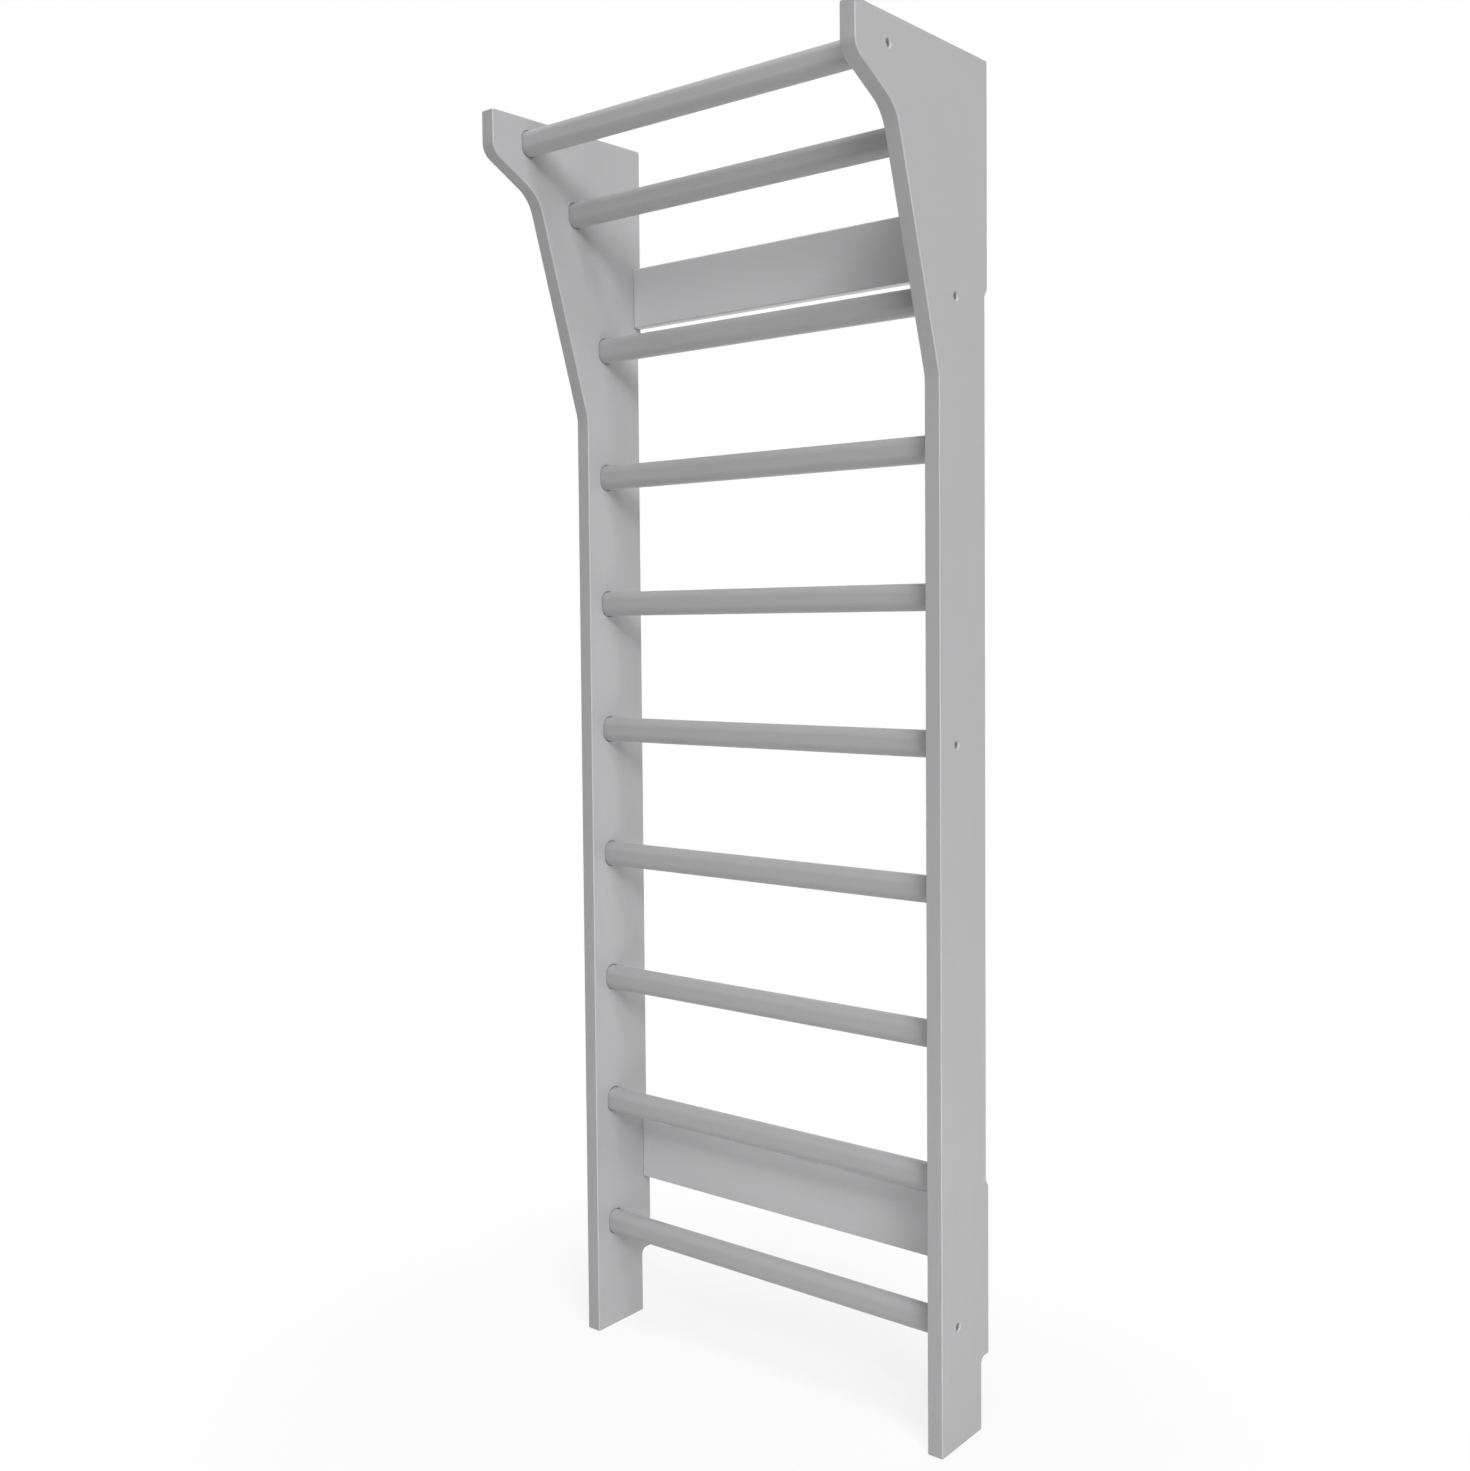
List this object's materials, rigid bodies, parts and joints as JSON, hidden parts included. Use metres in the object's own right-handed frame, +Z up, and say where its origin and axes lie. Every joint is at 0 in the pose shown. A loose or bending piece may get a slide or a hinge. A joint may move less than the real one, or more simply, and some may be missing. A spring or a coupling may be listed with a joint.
{
  "type": "wall bars",
  "caption": "Wall-mounted exercise ladder: oval rungs between profiled side panels, with a forward-set top bar and cross boards that fasten it to the wall.",
  "frame": {"origin": "on the floor, under the middle of the part's width and depth; the wall is the plane y = 0.168 m behind it", "axes": "+Z up along the side panels, +Y back towards the wall, +X across the rungs to the right as seen from the front"},
  "size_m": [0.7, 0.336, 2.0039],
  "materials": {
    "panel_paint": "satin grey paint on wood",
    "rung_paint": "satin grey paint on moulded wood",
    "board_paint": "satin grey paint on wood",
    "dowel_wood": "bare beech",
    "screw_steel": "zinc plated"
  },
  "bodies": {
    "root": {"side_panel_left": "panel_paint", "side_panel_right": "panel_paint", "rung_01": "rung_paint", "rung_02": "rung_paint", "rung_03": "rung_paint", "rung_04": "rung_paint", "rung_05": "rung_paint", "rung_06": "rung_paint", "rung_07": "rung_paint", "rung_08": "rung_paint", "rung_09": "rung_paint", "rung_10": "rung_paint", "cross_board_upper": "board_paint", "cross_board_lower": "board_paint", "rung_screw_left_01": "screw_steel", "rung_screw_right_01": "screw_steel", "rung_screw_left_03": "screw_steel", "rung_screw_right_03": "screw_steel", "rung_screw_left_06": "screw_steel", "rung_screw_right_06": "screw_steel", "rung_screw_left_10": "screw_steel", "rung_screw_right_10": "screw_steel", "board_dowel_upper_left_low": "dowel_wood", "board_dowel_upper_left_high": "dowel_wood", "board_dowel_upper_right_low": "dowel_wood", "board_dowel_upper_right_high": "dowel_wood", "board_dowel_lower_left_low": "dowel_wood", "board_dowel_lower_left_high": "dowel_wood", "board_dowel_lower_right_low": "dowel_wood", "board_dowel_lower_right_high": "dowel_wood"}
  },
  "joints": []
}
